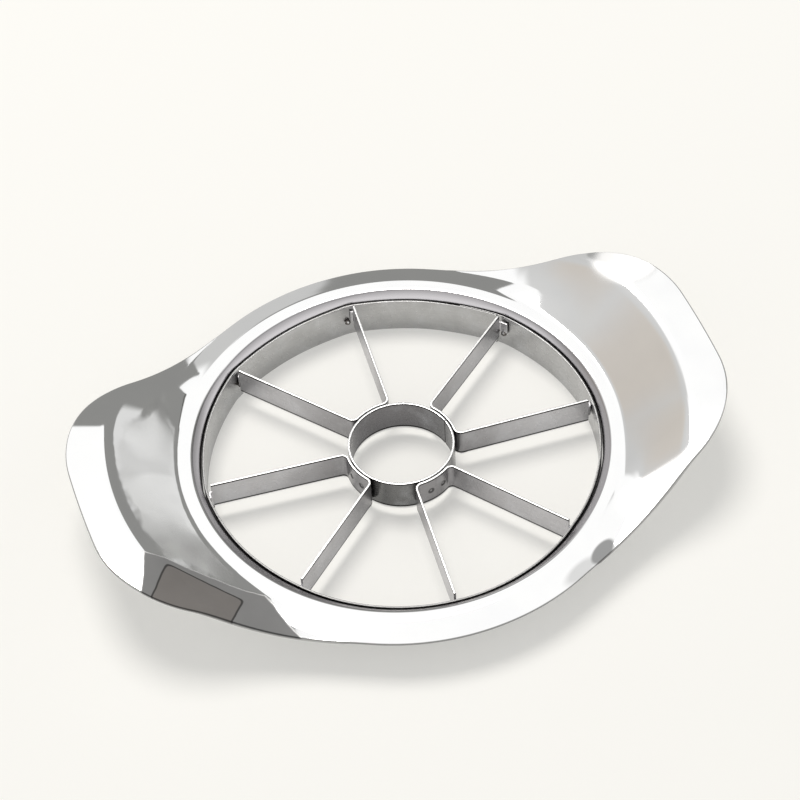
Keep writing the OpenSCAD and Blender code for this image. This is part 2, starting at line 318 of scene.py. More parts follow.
def make_body():
    points, neck, dirt, upper = [], [], [], []
    upper_count = len(upper_line(0.0)) + EDGE_STEPS
    for k in range(BODY_TURNS):
        a = 360.0 * k / BODY_TURNS
        section = body_section(a)
        upper += [1.0] * upper_count + [0.0] * (len(section) - upper_count)
        for p, neck_share, dirt_share in section:
            q = polar(p.x, a)
            v = Vector((q.x, q.y, p.y))
            v.z += sheet_wave(v)
            points.append(v)
            neck.append(neck_share)
            dirt.append(dirt_share)
    faces = tube_faces(BODY_TURNS, len(section), True)
    return add_object("pressed_body", points, faces, crease=60.0, neck=neck, dirt=dirt, upper=upper)


# Strips bent along a line

# Rows up a strip's face as shares of its height, which stand closer where a web has its dimples
EVEN_ROWS = [i / 10 for i in range(11)]
WEB_ROWS = [0, 0.1, 0.2, 0.3] + [0.36 + 0.28 * i / 14 for i in range(15)] + [0.7, 0.8, 0.9, 1.0]
SOFT = 0.08                             # rounding of a strip's edges
ROUND_STOPS = (0, 30, 60, 90)
KNEE_OUT, KNEE_UP = 0.25, 0.2           # first bend of the lower bevel, as shares of it
LEAST_BEVEL = 0.05

# Thickness and height of the lower bevel, and heights of the lower and upper edge
PLAIN, SHARP = (SEEN_T - 2 * SOFT, SOFT), (EDGE_T, BEVEL_H)
TAB, FULL = (TAB_Z, TAB_Z + TAB_H), (BLADE_Z, BLADE_Z + BLADE_H)
WEB_R = SEEN_CORE_R + SEEN_WEB_GAP + SEEN_T / 2


class Station:
    """One place on a bent strip: its middle, the unit vector across it, its lower and upper edge,
    its thickness, and the thickness and height of its lower bevel."""

    def __init__(self, middle, across, low, high, thick, bevel_t, bevel_h):
        self.middle, self.across, self.low, self.high = middle, across, low, high
        self.thick, self.bevel_t, self.bevel_h = thick, bevel_t, bevel_h

    def mirrored(self):
        """The same place on the other side of the X axis."""
        return Station(Vector((self.middle.x, -self.middle.y)),
                       Vector((self.across.x, -self.across.y)),
                       self.low, self.high, self.thick, self.bevel_t, self.bevel_h)


def ring_of(s, rows):
    """The closed section of a strip as (offset across, height), up one face and down the other."""
    half, edge = s.thick / 2, s.bevel_t / 2
    low, high = s.low + s.bevel_h, s.high - SOFT
    corner = [(half - SOFT * (1 - cos(radians(t))), high + SOFT * sin(radians(t)))
              for t in ROUND_STOPS]
    right = [(edge, s.low), (edge + (half - edge) * KNEE_OUT, s.low + s.bevel_h * KNEE_UP)]
    right += [(half, low + (high - low) * f) for f in rows[:-1]] + corner
    left = [(-x, z) for x, z in reversed(right)]
    return right + left


def sweep(name, stations, rows, dent=None, dirt_of=None):
    """A strip through its stations. dent moves a point, and the last argument gives a point's
    share of painted shade.
    """
    points, dirt = [], []
    rings = [ring_of(s, rows) for s in stations]
    size = len(rings[0])
    for s, ring in zip(stations, rings):
        for x, z in ring:
            p = s.middle + s.across * x
            v = Vector((p.x, p.y, z))
            points.append(dent(v) if dent else v)
            dirt.append(dirt_of(x, v) if dirt_of else 0.0)
    faces = tube_faces(len(rings), size, False)
    for base in (0, (len(rings) - 1) * size):
        for i in range(size // 2 - 1):
            faces.append((base + i, base + i + 1, base + size - 2 - i, base + size - 1 - i))
    return add_object(name, points, faces, crease=38.0, dirt=dirt)


def end_cap(stations, soft):
    """Adds a small chamfer at both ends of a strip."""
    for at, to in ((0, 1), (-1, -2)):
        s, inward = stations[at], (stations[to].middle - stations[at].middle).normalized()
        cap = Station(s.middle, s.across, s.low + soft, s.high - soft, s.thick - 2 * soft,
                      max(LEAST_BEVEL, s.bevel_t - 2 * soft), max(LEAST_BEVEL, s.bevel_h - soft))
        s.middle = s.middle + inward * soft
        stations.insert(0 if at == 0 else len(stations), cap)
    return stations


def blend_pair(p, q, t):
    return p[0] + (q[0] - p[0]) * t, p[1] + (q[1] - p[1]) * t


FOOT_STEPS, FOLD_STEPS, CORNER_STEPS, FLAT_STEPS = 5, 8, 8, 40
FADE_STEPS, ROOT_STEPS, WEB_STEPS = 5, 14, 60
SHOULDER_W = 0.03                       # over which a tab widens to the blade
TOP_ROUND = 0.12
EDGE_FADE = 1.2                         # over which the ground edge ends near the ring


def half_strip(line_angle, line_off, ring_at, foot_r, foot_len):
    """Stations from the foot to the middle of the web, which lies in direction 0, for the blade
    whose line runs in direction line_angle at line_off from the axis. ring_at is the middle of
    the web's arc."""
    u, n = polar(1, line_angle), polar(1, line_angle + 90)
    line = []

    def stop(middle, heading, z, bevel):
        line.append(Station(middle, polar(1, heading + 90), *z, SEEN_T, *bevel))

    bend_off = line_off - FOOT_BEND_R
    bend_at = n * bend_off + u * sqrt((foot_r - FOOT_BEND_R) ** 2 - bend_off ** 2)
    bend_angle = degrees(atan2(bend_at.y, bend_at.x))
    foot_sweep = degrees(foot_len / foot_r)
    for i in range(FOOT_STEPS):
        a = bend_angle - foot_sweep + foot_sweep * i / FOOT_STEPS
        stop(polar(foot_r, a), a + 90, TAB, PLAIN)
    for i in range(FOLD_STEPS + 1):
        a = bend_angle + (line_angle + 90 - bend_angle) * i / FOLD_STEPS
        stop(bend_at + polar(FOOT_BEND_R, a), a + 90, TAB, PLAIN)

    def on_blade(t, z, bevel):
        stop(n * line_off + u * t, line_angle + 180, z, bevel)

    tab_start = bend_at.dot(u)
    full_end = foot_r + SEEN_T / 2 + FIT_GAP - BLADE_END_GAP
    on_blade((tab_start + full_end) / 2, TAB, PLAIN)
    on_blade(full_end + SHOULDER_W, TAB, PLAIN)
    for i in range(CORNER_STEPS + 1):
        x = BLADE_CORNER_R * cos(radians(90 * i / CORNER_STEPS))
        rise = BLADE_CORNER_R * (1 - sqrt(max(0.0, 1 - (x / BLADE_CORNER_R) ** 2)))
        drop = TOP_ROUND * max(0.0, 1 - (BLADE_CORNER_R - x) / TOP_ROUND) ** 2
        on_blade(full_end - BLADE_CORNER_R + x, (FULL[0] + rise, FULL[1] - drop),
                 blend_pair(PLAIN, SHARP, ease(1 - x / BLADE_CORNER_R)))
    root_off = line_off - n.dot(ring_at) - ROOT_R
    root_at = ring_at + n * root_off + u * sqrt((WEB_R + ROOT_R) ** 2 - root_off ** 2)
    root_start = root_at.dot(u)
    far, flat_end = full_end - BLADE_CORNER_R, root_start + EDGE_FADE
    for i in range(1, FLAT_STEPS + 1):
        on_blade(far + (flat_end - far) * i / FLAT_STEPS, FULL, SHARP)
    for i in range(1, FADE_STEPS):
        on_blade(flat_end + (root_start - flat_end) * i / FADE_STEPS, FULL,
                 blend_pair(SHARP, PLAIN, ease(i / FADE_STEPS)))
    to_ring = ring_at - root_at
    web_start = degrees(atan2(-to_ring.y, -to_ring.x))
    for i in range(ROOT_STEPS + 1):
        a = line_angle + 90 + (web_start + 90 - line_angle) * i / ROOT_STEPS
        stop(root_at + polar(ROOT_R, a), a + 90, FULL, PLAIN)
    for i in range(1, WEB_STEPS + 1):
        a = web_start * (1 - i / WEB_STEPS)
        stop(ring_at + polar(WEB_R, a), a - 90, FULL, PLAIN)
    return line


END_SOFT, RING_END_SOFT = 0.06, 0.05
FOOT_ASIDE = 3.0                        # turn from a blade's line to the middle of its foot
DIMPLE_ROUND, NUB, NUB_SLOPE = 1.5, 0.55, 2.6   # a dimple's floor has a nub in its middle
DIMPLE_SHADE = 0.9


def make_strip(name, number):
    """One strip folded into two blades, built with its web along +X and then turned into place."""
    middle = STRIP_ANGLE + 90 * number
    ring_at = Matrix.Rotation(radians(-middle), 2) @ SEEN_CORE_AT
    halves = []
    for side, blade in ((1, BLADES[2 * number]), (-1, BLADES[2 * number - 1])):
        line_angle = side * ((blade.angle - middle + 180) % 360 - 180)
        foot_r = OPENING_R + bulge(blade.angle - side * FOOT_ASIDE) - FIT_GAP - SEEN_T / 2
        halves.append(half_strip(line_angle, side * blade.off,
                                 Vector((ring_at.x, side * ring_at.y)), foot_r, blade.foot))
    line = halves[0] + [s.mirrored() for s in reversed(halves[1][:-1])]
    web_out = WEB_R + SEEN_T / 2
    spots = [Vector((*(ring_at + polar(web_out, a)), BLADE_Z + BLADE_H / 2))
             for a in DIMPLES[number]]

    def dent(v):
        outward = Vector((v.x - ring_at.x, v.y - ring_at.y, 0))
        for spot in spots:
            d = (v - spot).length / DIMPLE_R
            if d < 1 and outward.length > web_out - DIMPLE_DEPTH / 2:
                depth = (1 - d * d) ** DIMPLE_ROUND - NUB * max(0.0, 1 - NUB_SLOPE * d)
                v = v - outward.normalized() * DIMPLE_DEPTH * depth
        return v

    def dirt_of(x, v):
        # Painted shade in the ring between a dimple's nub and its rim
        d = min((v - spot).length for spot in spots) / DIMPLE_R
        return DIMPLE_SHADE * ease((1.05 - d) / 0.3) * ease((d - 0.1) / 0.4)

    obj = sweep(name, end_cap(line, END_SOFT), WEB_ROWS, dent=dent, dirt_of=dirt_of)
    obj.data.transform(Matrix.Rotation(radians(middle), 4, "Z"))
    return obj


def hoop_station(middle, r, t, low, high, a):
    """The station in direction a of a hoop round middle, of thickness t."""
    return Station(middle + polar(r, a), polar(1, a), low, high, t, t - 2 * SOFT, SOFT)


BAND_STEPS, RING_STEPS = 900, 240
BAND_SHADE_H, BAND_SHADE_FADE = 1.2, 1.1  # painted shade along the top of the band's outer face
BAND_SHADE_IN, BAND_SHADE_IN_FADE = 0.12, 0.2


def make_band():
    """The hoop, whose first end lies inside its last end from the cut to the step."""
    start, stop = LAP_CUT, 360 + LAP_OUTER_END
    stations = []
    for i in range(BAND_STEPS + 1):
        a = start + (stop - start) * i / BAND_STEPS
        first = 1 - ease((a - LAP_STEP) / SEEN_STEP_SWEEP)
        last = ease((a - 360 - LAP_CUT + SEEN_STEP_SWEEP) / SEEN_STEP_SWEEP)
        inner = OPENING_R + bulge(a) - SEEN_LAP_IN * first
        inner += (SEEN_LAP_T - SEEN_LAP_IN + FIT_GAP / 2) * last
        outer = OPENING_R + bulge(a) + BAND_T - (BAND_T + SEEN_LAP_IN - SEEN_LAP_T) * first
        stations.append(hoop_station(Vector((0, 0)), (inner + outer) / 2, outer - inner,
                                     0, BAND_H, a))

    # Painted shade along the band's top, on its outer part, where the collar covers it
    def dirt_of(x, v):
        height = ease((v.z - BAND_H + BAND_SHADE_H) / BAND_SHADE_FADE)
        return height * ease((x + BAND_SHADE_IN) / BAND_SHADE_IN_FADE)

    return sweep("rim_band_strip", end_cap(stations, END_SOFT), EVEN_ROWS, dirt_of=dirt_of)


def make_ring():
    """The coring ring, whose ends meet at the seam."""
    mid = SEEN_CORE_R - SEEN_T / 2
    gap = degrees(SEAM_W / mid)
    stations = []
    for i in range(RING_STEPS + 1):
        a = SEAM_ANGLE + gap / 2 + (360 - gap) * i / RING_STEPS
        stations.append(hoop_station(SEEN_CORE_AT, mid, SEEN_T, CORE_Z, CORE_Z + CORE_H, a))
    return sweep("core_ring_strip", end_cap(stations, RING_END_SOFT), EVEN_ROWS)


TACK_RINGS, TACK_AROUND = 14, 24
TACK_LUMPS, TACK_LUMP_SCALE = 0.22, 1.7
TACK_SCALE, TACK_STRETCH = 0.95, 1.1
TACK_FACING_Z = 0.9                     # the painted highlight on a bead's top faces inwards and up
TACK_HIGHLIGHT, TACK_HIGHLIGHT_FADE = 0.97, 0.12


def make_tacks():
    """Eight weld beads, each a dark lump with a painted highlight on its top, in the corner between
    a foot and the band."""
    points, faces, dirt = [], [], []
    for number, blade in enumerate(BLADES):
        side = -1 if number % 2 else 1
        foot_angle = blade.angle - side * degrees((FOOT_BEND_R + blade.foot / 2) / OPENING_R)
        u = polar(1, foot_angle)
        outward, along = Vector((u.x, u.y, 0)), Vector((-u.y, u.x, 0))
        reach = OPENING_R + bulge(foot_angle) - TACK_R + TACK_SINK
        centre = Vector((*polar(reach, foot_angle), TAB_Z - TACK_R + TACK_SINK))
        facing = Vector((-u.x, -u.y, TACK_FACING_Z)).normalized()
        seed = Vector((number * 3.3, side * 5.1, 0.7))
        base = len(points)
        for i in range(TACK_RINGS + 1):
            th = pi * i / TACK_RINGS
            for k in range(TACK_AROUND):
                ph = 2 * pi * k / TACK_AROUND
                d = Vector((sin(th) * cos(ph), sin(th) * sin(ph), cos(th)))
                lump = 1 + TACK_LUMPS * noise.noise(d * TACK_LUMP_SCALE + seed)
                v = outward * d.x + along * d.y * TACK_STRETCH + Vector((0, 0, d.z))
                points.append(centre + v * TACK_R * lump * TACK_SCALE)
                # A painted highlight where the bead faces inwards and up, and painted shade
                # elsewhere
                dirt.append(ease((TACK_HIGHLIGHT - v.normalized().dot(facing)) / TACK_HIGHLIGHT_FADE))
        faces += [tuple(base + q for q in quad)
                  for quad in tube_faces(TACK_RINGS + 1, TACK_AROUND, False)]
    obj = add_object("tack_beads", points, faces, crease=80.0, dirt=dirt)
    bm = bmesh.new()
    bm.from_mesh(obj.data)
    bmesh.ops.remove_doubles(bm, verts=bm.verts, dist=1e-7)
    bmesh.ops.dissolve_degenerate(bm, edges=bm.edges, dist=1e-8)
    bm.to_mesh(obj.data)
    bm.free()
    return obj


# Materials

class Tree:
    """Short calls for building a node tree."""

    def __init__(self, owner):
        owner.use_nodes = True
        self.nodes, self.links = owner.node_tree.nodes, owner.node_tree.links
        self.nodes.clear()

    def add(self, kind, inputs=None, **settings):
        node = self.nodes.new(kind)
        for key, value in settings.items():
            setattr(node, key, value)
        for key, value in (inputs or {}).items():
            self.put(node.inputs[key], value)
        return node

    def put(self, socket, value):
        if isinstance(value, bpy.types.NodeSocket):
            self.links.new(value, socket)
        else:
            socket.default_value = value

    def math(self, operation, a, b=0.0, c=0.0):
        return self.add("ShaderNodeMath", {0: a, 1: b, 2: c}, operation=operation).outputs[0]

    def plus(self, a, b):
        return self.math("ADD", a, b)

    def minus(self, a, b):
        return self.math("SUBTRACT", a, b)

    def product(self, first, *others):
        for other in others:
            first = self.math("MULTIPLY", first, other)
        return first

    def least(self, first, *others):
        for other in others:
            first = self.math("MINIMUM", first, other)
        return first

    def remap(self, value, low, high, to_low, to_high, smooth=False):
        node = self.add("ShaderNodeMapRange", {"Value": value, "From Min": low, "From Max": high,
                                               "To Min": to_low, "To Max": to_high})
        if smooth:
            node.interpolation_type = "SMOOTHSTEP"
        return node.outputs["Result"]

    def share(self, value, low, high, smooth=False):
        return self.remap(value, low, high, 0.0, 1.0, smooth)

    def step(self, value, edge, soft):
        """0 before the edge and 1 past it."""
        return self.share(self.minus(value, edge), -soft, soft, True)

    def fall(self, value, edge, soft):
        return self.minus(1.0, self.step(value, edge, soft))

    def window(self, value, low, high, soft):
        return self.product(self.step(value, low, soft), self.fall(value, high, soft))

    def noise(self, vector, scale, detail=2.0, rough=0.5):
        return self.add("ShaderNodeTexNoise", {"Vector": vector, "Scale": scale, "Detail": detail,
                                               "Roughness": rough}).outputs["Fac"]

    def mix(self, factor, a, b):
        node = self.add("ShaderNodeMix", {"Factor": factor}, data_type="RGBA")
        self.put(node.inputs[6], a)
        self.put(node.inputs[7], b)
        return node.outputs[2]

    def mix_value(self, factor, a, b):
        node = self.add("ShaderNodeMix", {"Factor": factor})
        self.put(node.inputs[2], a)
        self.put(node.inputs[3], b)
        return node.outputs[0]

    def colour(self, red, green, blue):
        return self.add("ShaderNodeCombineColor", {0: red, 1: green, 2: blue}).outputs[0]

    def axes(self, vector):
        return self.add("ShaderNodeSeparateXYZ", {"Vector": vector}).outputs

    def scaled(self, vector, scale):
        return self.add("ShaderNodeMapping", {"Vector": vector, "Scale": scale}).outputs["Vector"]

    def place(self):
        """Position on the object in mm."""
        spot = self.add("ShaderNodeTexCoord").outputs["Object"]
        return self.scaled(spot, (1 / MM, 1 / MM, 1 / MM))

    def tone(self, name):
        return self.add("ShaderNodeAttribute", attribute_name=name).outputs["Fac"]

    def beyond(self, place, direction, distance):
        """How far a place lies past the line that is square to direction and this far from the
        axis."""
        a = radians(direction)
        dot = self.add("ShaderNodeVectorMath", {0: place, 1: (cos(a), sin(a), 0.0)},
                       operation="DOT_PRODUCT")
        return self.minus(dot.outputs["Value"], distance)

    def distance(self, place, x=0.0, y=0.0):
        """Distance from the vertical line through x, y."""
        flat = self.scaled(place, (1.0, 1.0, 0.0))
        return self.add("ShaderNodeVectorMath", {0: flat, 1: (x, y, 0.0)},
                        operation="DISTANCE").outputs["Value"]

    def oval(self, place, direction, distance, half_width, half_length):
        """0 in the middle and 1 on the rim of an oval that lies this far out in direction, with
        its length square to it."""
        out = self.math("DIVIDE", self.beyond(place, direction, distance), half_width)
        side = self.math("DIVIDE", self.beyond(place, direction + 90.0, 0.0), half_length)
        return self.math("SQRT", self.plus(self.product(out, out), self.product(side, side)))

    def metal(self, colour, rough, bump_strength, bump_depth, height):
        bump = self.add("ShaderNodeBump", {"Strength": bump_strength,
                                           "Distance": bump_depth * MM, "Height": height})
        shader = self.add("ShaderNodeBsdfPrincipled", {
            "Base Color": colour, "Metallic": 1.0, "Roughness": rough,
            "Normal": bump.outputs["Normal"]})
        self.add("ShaderNodeOutputMaterial", {"Surface": shader.outputs[0]})


def grey(v, tint=(1.0, 1.0, 1.0)):
    return (v * tint[0], v * tint[1], v * tint[2], 1.0)


# Tones of the body, each from one end of its noise to the other
MIRROR, MIRROR_ROUGH = (grey(0.93), grey(0.89, (1.0, 1.0, 1.01))), (0.04, 0.08)
DULL, DULL_ROUGH = (grey(0.84), grey(1.0)), (0.16, 0.26)
# A painted dark reflection on the left wing, and the painted reflection of a black-rimmed mark in
# it
DARK_REFLECTION, DARK_REFLECTION_ROUGH = (grey(0.26), grey(0.33)), 0.9
REFLECTED_MARK = ((0.225, 0.212, 0.204, 1.0), (0.285, 0.272, 0.262, 1.0))
REFLECTED_MARK_RIM, TAIL, SPOT, RUBBED = grey(0.05), grey(0.66), grey(0.31), grey(1.0)
RUBBED_ROUGH, NECK_ROUGH = 0.5, 0.26
NECK_FRONT, NECK_BACK, NECK_GREEN = 0.6, 0.34, 0.97
# Nearly black painted shade for the body's crevices and edges
CREVICE_SHADE = (grey(0.03), grey(0.06))
SWIRL_SHIFT = (9.0, 9.0, 9.0)

# Places on the body's upper face. A border is the line that is square to a direction, at a
# distance from the axis. An oval has half its width and half its length as well. The rubbed tip
# is a point, and the rubbing fades between the two radii round it.
PATCH_IN_R, PATCH_OUT_R = 50.4, 62.6
PATCH_FRONT, PATCH_BACK, PATCH_RIGHT = (238.0, 47.0), (130.7, 53.6), (180.0, 46.2)
# Borders of the painted dark reflection and of the painted reflection of the mark
DARK_REFLECTION_IN_R, DARK_REFLECTION_LEFT, DARK_REFLECTION_RIGHT = 50.2, (159.8, 54.1), (195.7, 47.6)
MARK_NEAR, MARK_MIDDLE, MARK_HALF_L, MARK_ROUND = (232.6, 52.1), (322.6, -26.4), 8.6, 2.0
RUBBED_TIP, RUBBED_TIP_R = (65.0, 25.5), (5.0, 10.0)
RUBBED_NEAR, RUBBED_LEFT = (270.0, 30.8), (0.0, 44.0)
TAIL_OVAL, SPOT_OVAL = (297.0, 53.6, 1.9, 5.8), (304.5, 54.1, 1.8, 4.2)
NECK_TURN_Y = 25.0                      # the neck's painted shade turns from this far in front to behind


def polished_steel():
    """Mirror-polished sheet with a faint haze, a rubbed satin neck with painted shade towards its
    back, painted shade in the crevices and on the trimmed edge, the dull and rubbed places on the
    wings, a painted dark reflection holding the painted reflection of a black-rimmed mark, and a
    darker spot at the front right."""
    material = bpy.data.materials.new("polished_steel")
    t = Tree(material)
    place = t.place()
    radius, upper = t.distance(place), t.tone("upper")
    haze, fine = t.noise(place, 0.09, 3.0), t.noise(place, 0.9)
    ragged = t.remap(t.noise(place, 0.13), 0.3, 0.7, -0.9, 0.9)
    colour = t.mix(t.share(haze, 0.3, 0.75), *MIRROR)
    rough = t.remap(haze, 0.35, 0.7, *MIRROR_ROUGH)

    def past(border):
        return t.beyond(place, *border)

    def short_of(border):
        return t.product(past(border), -1.0)

    # The dull, swirled patch on the left wing
    patch = t.least(t.minus(radius, PATCH_IN_R), t.minus(PATCH_OUT_R, radius),
                    short_of(PATCH_FRONT), short_of(PATCH_BACK), past(PATCH_RIGHT))
    patch = t.product(t.step(t.plus(patch, ragged), 0.2, 1.2), upper)
    drift = t.add("ShaderNodeTexNoise", {"Vector": place, "Scale": 0.05, "Detail": 0.0})
    swirled = t.add("ShaderNodeVectorMath", {0: place, 1: drift.outputs["Color"],
                                             2: SWIRL_SHIFT}, operation="MULTIPLY_ADD")
    swirl = t.noise(swirled.outputs[0], 0.09, 0.0)
    rough = t.mix_value(patch, rough, t.remap(haze, 0.3, 0.7, *DULL_ROUGH))
    colour = t.mix(patch, colour, t.mix(t.share(swirl, 0.35, 0.6, True), *DULL))

    # A painted dark reflection in front of it, and in it the painted reflection of a rounded mark
    # with a black rim
    dark_reflection_mask = t.least(past(PATCH_FRONT), t.minus(radius, DARK_REFLECTION_IN_R), short_of(DARK_REFLECTION_LEFT),
                   past(DARK_REFLECTION_RIGHT))
    dark_reflection_mask = t.product(t.step(t.plus(dark_reflection_mask, t.product(ragged, 0.3)), 0.3, 0.35), upper)
    rough = t.mix_value(dark_reflection_mask, rough, DARK_REFLECTION_ROUGH)
    colour = t.mix(dark_reflection_mask, colour, t.mix(haze, *DARK_REFLECTION))
    along = past(MARK_MIDDLE)
    mark_reflection = t.math("SMOOTH_MIN", past(MARK_NEAR), t.minus(MARK_HALF_L, along), MARK_ROUND)
    mark_reflection = t.math("SMOOTH_MIN", mark_reflection, t.plus(MARK_HALF_L, along), MARK_ROUND)
    mark_reflection = t.plus(mark_reflection, t.product(ragged, 0.2))
    colour = t.mix(t.product(t.step(mark_reflection, 0.1, 0.15), upper), colour, t.mix(haze, *REFLECTED_MARK))
    colour = t.mix(t.product(t.window(mark_reflection, 0.0, 0.4, 0.1), upper, 0.8), colour, REFLECTED_MARK_RIM)

    # The rubbed places at the right wing's tip and near end
    tip = t.remap(t.distance(place, *RUBBED_TIP), *RUBBED_TIP_R, 1.0, 0.0, True)
    near = t.product(t.step(past(RUBBED_NEAR), 0.0, 1.2), t.step(past(RUBBED_LEFT), 0.0, 1.5))
    rough = t.mix_value(t.product(t.math("MAXIMUM", tip, near), upper), rough, RUBBED_ROUGH)
    colour = t.mix(t.product(near, upper), colour, RUBBED)

    # The dark spot at the front right, with its tail
    for oval, start, end, tone in ((TAIL_OVAL, 0.5, 1.1, TAIL), (SPOT_OVAL, 0.75, 1.05, SPOT)):
        dark_spot = t.remap(t.oval(place, *oval), start, end, 1.0, 0.0, True)
        colour = t.mix(t.product(dark_spot, upper), colour, tone)

    # The satin neck, with painted shade that darkens it towards the crest at the back, and the
    # painted shade in the crevices and on the edges
    neck, height = t.tone("neck"), t.axes(place)["Z"]
    back = t.share(t.axes(place)["Y"], -NECK_TURN_Y, NECK_TURN_Y, True)
    shaded = t.product(back, t.share(height, BAND_H + 0.3, CREST_Z - 0.15))
    level = t.mix_value(shaded, NECK_FRONT, NECK_BACK)
    rough = t.mix_value(neck, rough, NECK_ROUGH)
    colour = t.mix(neck, colour, t.colour(level, t.product(level, NECK_GREEN), level))
    # Painted shade in the crevice, along the crest's inner edge and on the trimmed edge
    colour = t.mix(t.tone("dirt"), colour, t.mix(t.share(fine, 0.3, 0.7), *CREVICE_SHADE))
    t.metal(colour, rough, 0.15, 1.0, t.product(swirl, patch))
    return material


STAIN, BRIGHT = grey(0.12, (1.0, 0.96, 0.94)), grey(0.6, (0.97, 0.99, 1.04))
# Painted shade for the lines beside the edges, and the ground foot's painted highlight with its
# roughness
SHADE_LINE, GROUND_HIGHLIGHT, GROUND_ROUGH = grey(0.03), grey(0.95), 0.18
# Painted shade for the dimples and the band's top
STRIP_SHADE = (grey(0.02), grey(0.08))


def satin_strip(name, low, high, inner, outer, fade, cut, top_line, foot_line,
                rough=(0.26, 0.38)):
    """Rolled strip between the heights low and high, whose tone changes from inner to outer over
    the radii of fade. Its cut edges have painted highlights, the upper one in the grey of cut, and
    a line of painted shade lies beside each, with its start and end as distances from the edge."""
    material = bpy.data.materials.new(name)
    t = Tree(material)
    place = t.place()
    grain = t.noise(t.scaled(place, (0.05, 0.05, 2.0)), 1.0, 3.0, 0.6)
    cloud, fine = t.noise(place, 0.16, 3.0, 0.55), t.noise(place, 2.0)
    # The tone from inner to outer; on the blades the darker tone near the ring is painted shade
    colour = t.mix(t.share(t.distance(place), *fade, True), inner, outer)
    shade = t.plus(t.product(grain, 0.3), t.product(cloud, 0.7))
    colour = t.mix(t.remap(shade, 0.4, 0.7, 0.0, 0.2), colour, STAIN)
    colour = t.mix(t.remap(cloud, 0.5, 0.3, 0.0, 0.25), colour, BRIGHT)
    height = t.axes(place)["Z"]
    above, under = t.minus(height, low), t.minus(high, height)
    # A line of painted shade beside each cut edge
    shade_lines = t.plus(t.window(above, *foot_line, 0.07), t.window(under, *top_line, 0.05))
    colour = t.mix(shade_lines, colour, SHADE_LINE)
    # Painted highlights on the ground foot and on the upper cut edge
    ground = t.remap(above, foot_line[0] - 0.1, foot_line[0], 1.0, 0.0)
    sheared_highlight = t.remap(under, top_line[0] - 0.06, top_line[0], 1.0, 0.0)
    colour = t.mix(ground, t.mix(sheared_highlight, colour, grey(cut)), GROUND_HIGHLIGHT)
    # Painted shade in the dimples and along the band's top
    colour = t.mix(t.tone("dirt"), colour, t.mix(t.share(fine, 0.3, 0.7), *STRIP_SHADE))
    roughness = t.mix_value(ground, t.remap(fine, 0.3, 0.7, *rough), GROUND_ROUGH)
    t.metal(colour, roughness, 0.06, 0.03, t.plus(grain, t.product(fine, 0.3)))
    return material


WELD_HIGHLIGHT = (grey(0.65), grey(0.9))
WELD_DARK = ((0.05, 0.045, 0.04, 1.0), (0.20, 0.18, 0.17, 1.0))


def weld_metal():
    """Painted highlights on the bead tops, on beads dark from burning and from painted shade."""
    material = bpy.data.materials.new("weld_metal")
    t = Tree(material)
    spots = t.noise(t.place(), 1.5, 3.0, 0.6)
    fleck = t.share(spots, 0.35, 0.65)
    colour = t.mix(t.tone("dirt"), t.mix(fleck, *WELD_HIGHLIGHT), t.mix(fleck, *WELD_DARK))
    t.metal(colour, t.remap(spots, 0.3, 0.7, 0.3, 0.5), 0.4, 0.08, spots)
    return material


# Pieces

def dress(obj, node, material):
    obj.data.materials.append(material)
    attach(obj, "root")
    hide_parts(node)


# The blades' faces darken towards the ring as painted shade
blade_steel = satin_strip(
    "blade_steel", BLADE_Z, BLADE_Z + BLADE_H, grey(0.33, (1.0, 0.98, 1.01)),
    grey(0.55, (0.99, 0.98, 1.01)), fade=(13.0, 32.0), cut=0.66, top_line=(0.1, 0.45),
    foot_line=(0.5, 0.95))
band_steel = satin_strip(
    "band_steel", 0.0, BAND_H, grey(0.5), grey(0.5), fade=(40.0, 46.0), cut=0.85,
    top_line=(0.0, 0.0), foot_line=(0.0, 0.0))
# The ring's dark grey is painted shade in the middle among the blades
ring_steel = satin_strip(
    "ring_steel", CORE_Z, CORE_Z + CORE_H, grey(0.20, (1.0, 0.98, 1.02)), grey(0.185),
    fade=(11.2, 12.2), cut=0.66, top_line=(0.08, 0.42), foot_line=(0.6, 1.05), rough=(0.2, 0.3))
dress(make_body(), "body", polished_steel())
dress(make_band(), "rim_band", band_steel)
dress(make_ring(), "core_ring", ring_steel)
for number, side in enumerate(("right", "back", "left", "front")):
    dress(make_strip("blade_fold_" + side, number), "blade_strip_" + side, blade_steel)
dress(make_tacks(), "tack_welds", weld_metal())

# Camera, at the photograph's angle. Places and sizes from here on are in metres.

CAMERA_AT = Vector((-0.11133, -0.36898, 0.46937))
CAMERA_HEADING, CAMERA_PITCH, CAMERA_ROLL = radians(16.89), radians(49.08), radians(-3.69)
FOCAL_PIXELS, IMAGE_PIXELS, SENSOR_W = 2673.9, 800, 36.0
UP = Vector((0, 0, 1))

ahead = Vector((sin(CAMERA_HEADING), cos(CAMERA_HEADING), 0))
across = Vector((cos(CAMERA_HEADING), -sin(CAMERA_HEADING), 0))
look = ahead * cos(CAMERA_PITCH) - UP * sin(CAMERA_PITCH)
over = UP * cos(CAMERA_PITCH) + ahead * sin(CAMERA_PITCH)
right = across * cos(CAMERA_ROLL) + over * sin(CAMERA_ROLL)
top = over * cos(CAMERA_ROLL) - across * sin(CAMERA_ROLL)
camera_data = bpy.data.cameras.new("camera")
camera_data.sensor_width = SENSOR_W
camera_data.lens = SENSOR_W * FOCAL_PIXELS / IMAGE_PIXELS
camera_data.clip_start, camera_data.clip_end = 0.01, 20.0
camera = bpy.data.objects.new("camera", camera_data)
turned = Matrix((right, top, -look)).transposed().to_4x4()
camera.matrix_world = Matrix.Translation(CAMERA_AT) @ turned
bpy.context.scene.collection.objects.link(camera)
bpy.context.scene.camera = camera


# Floor, studio and light

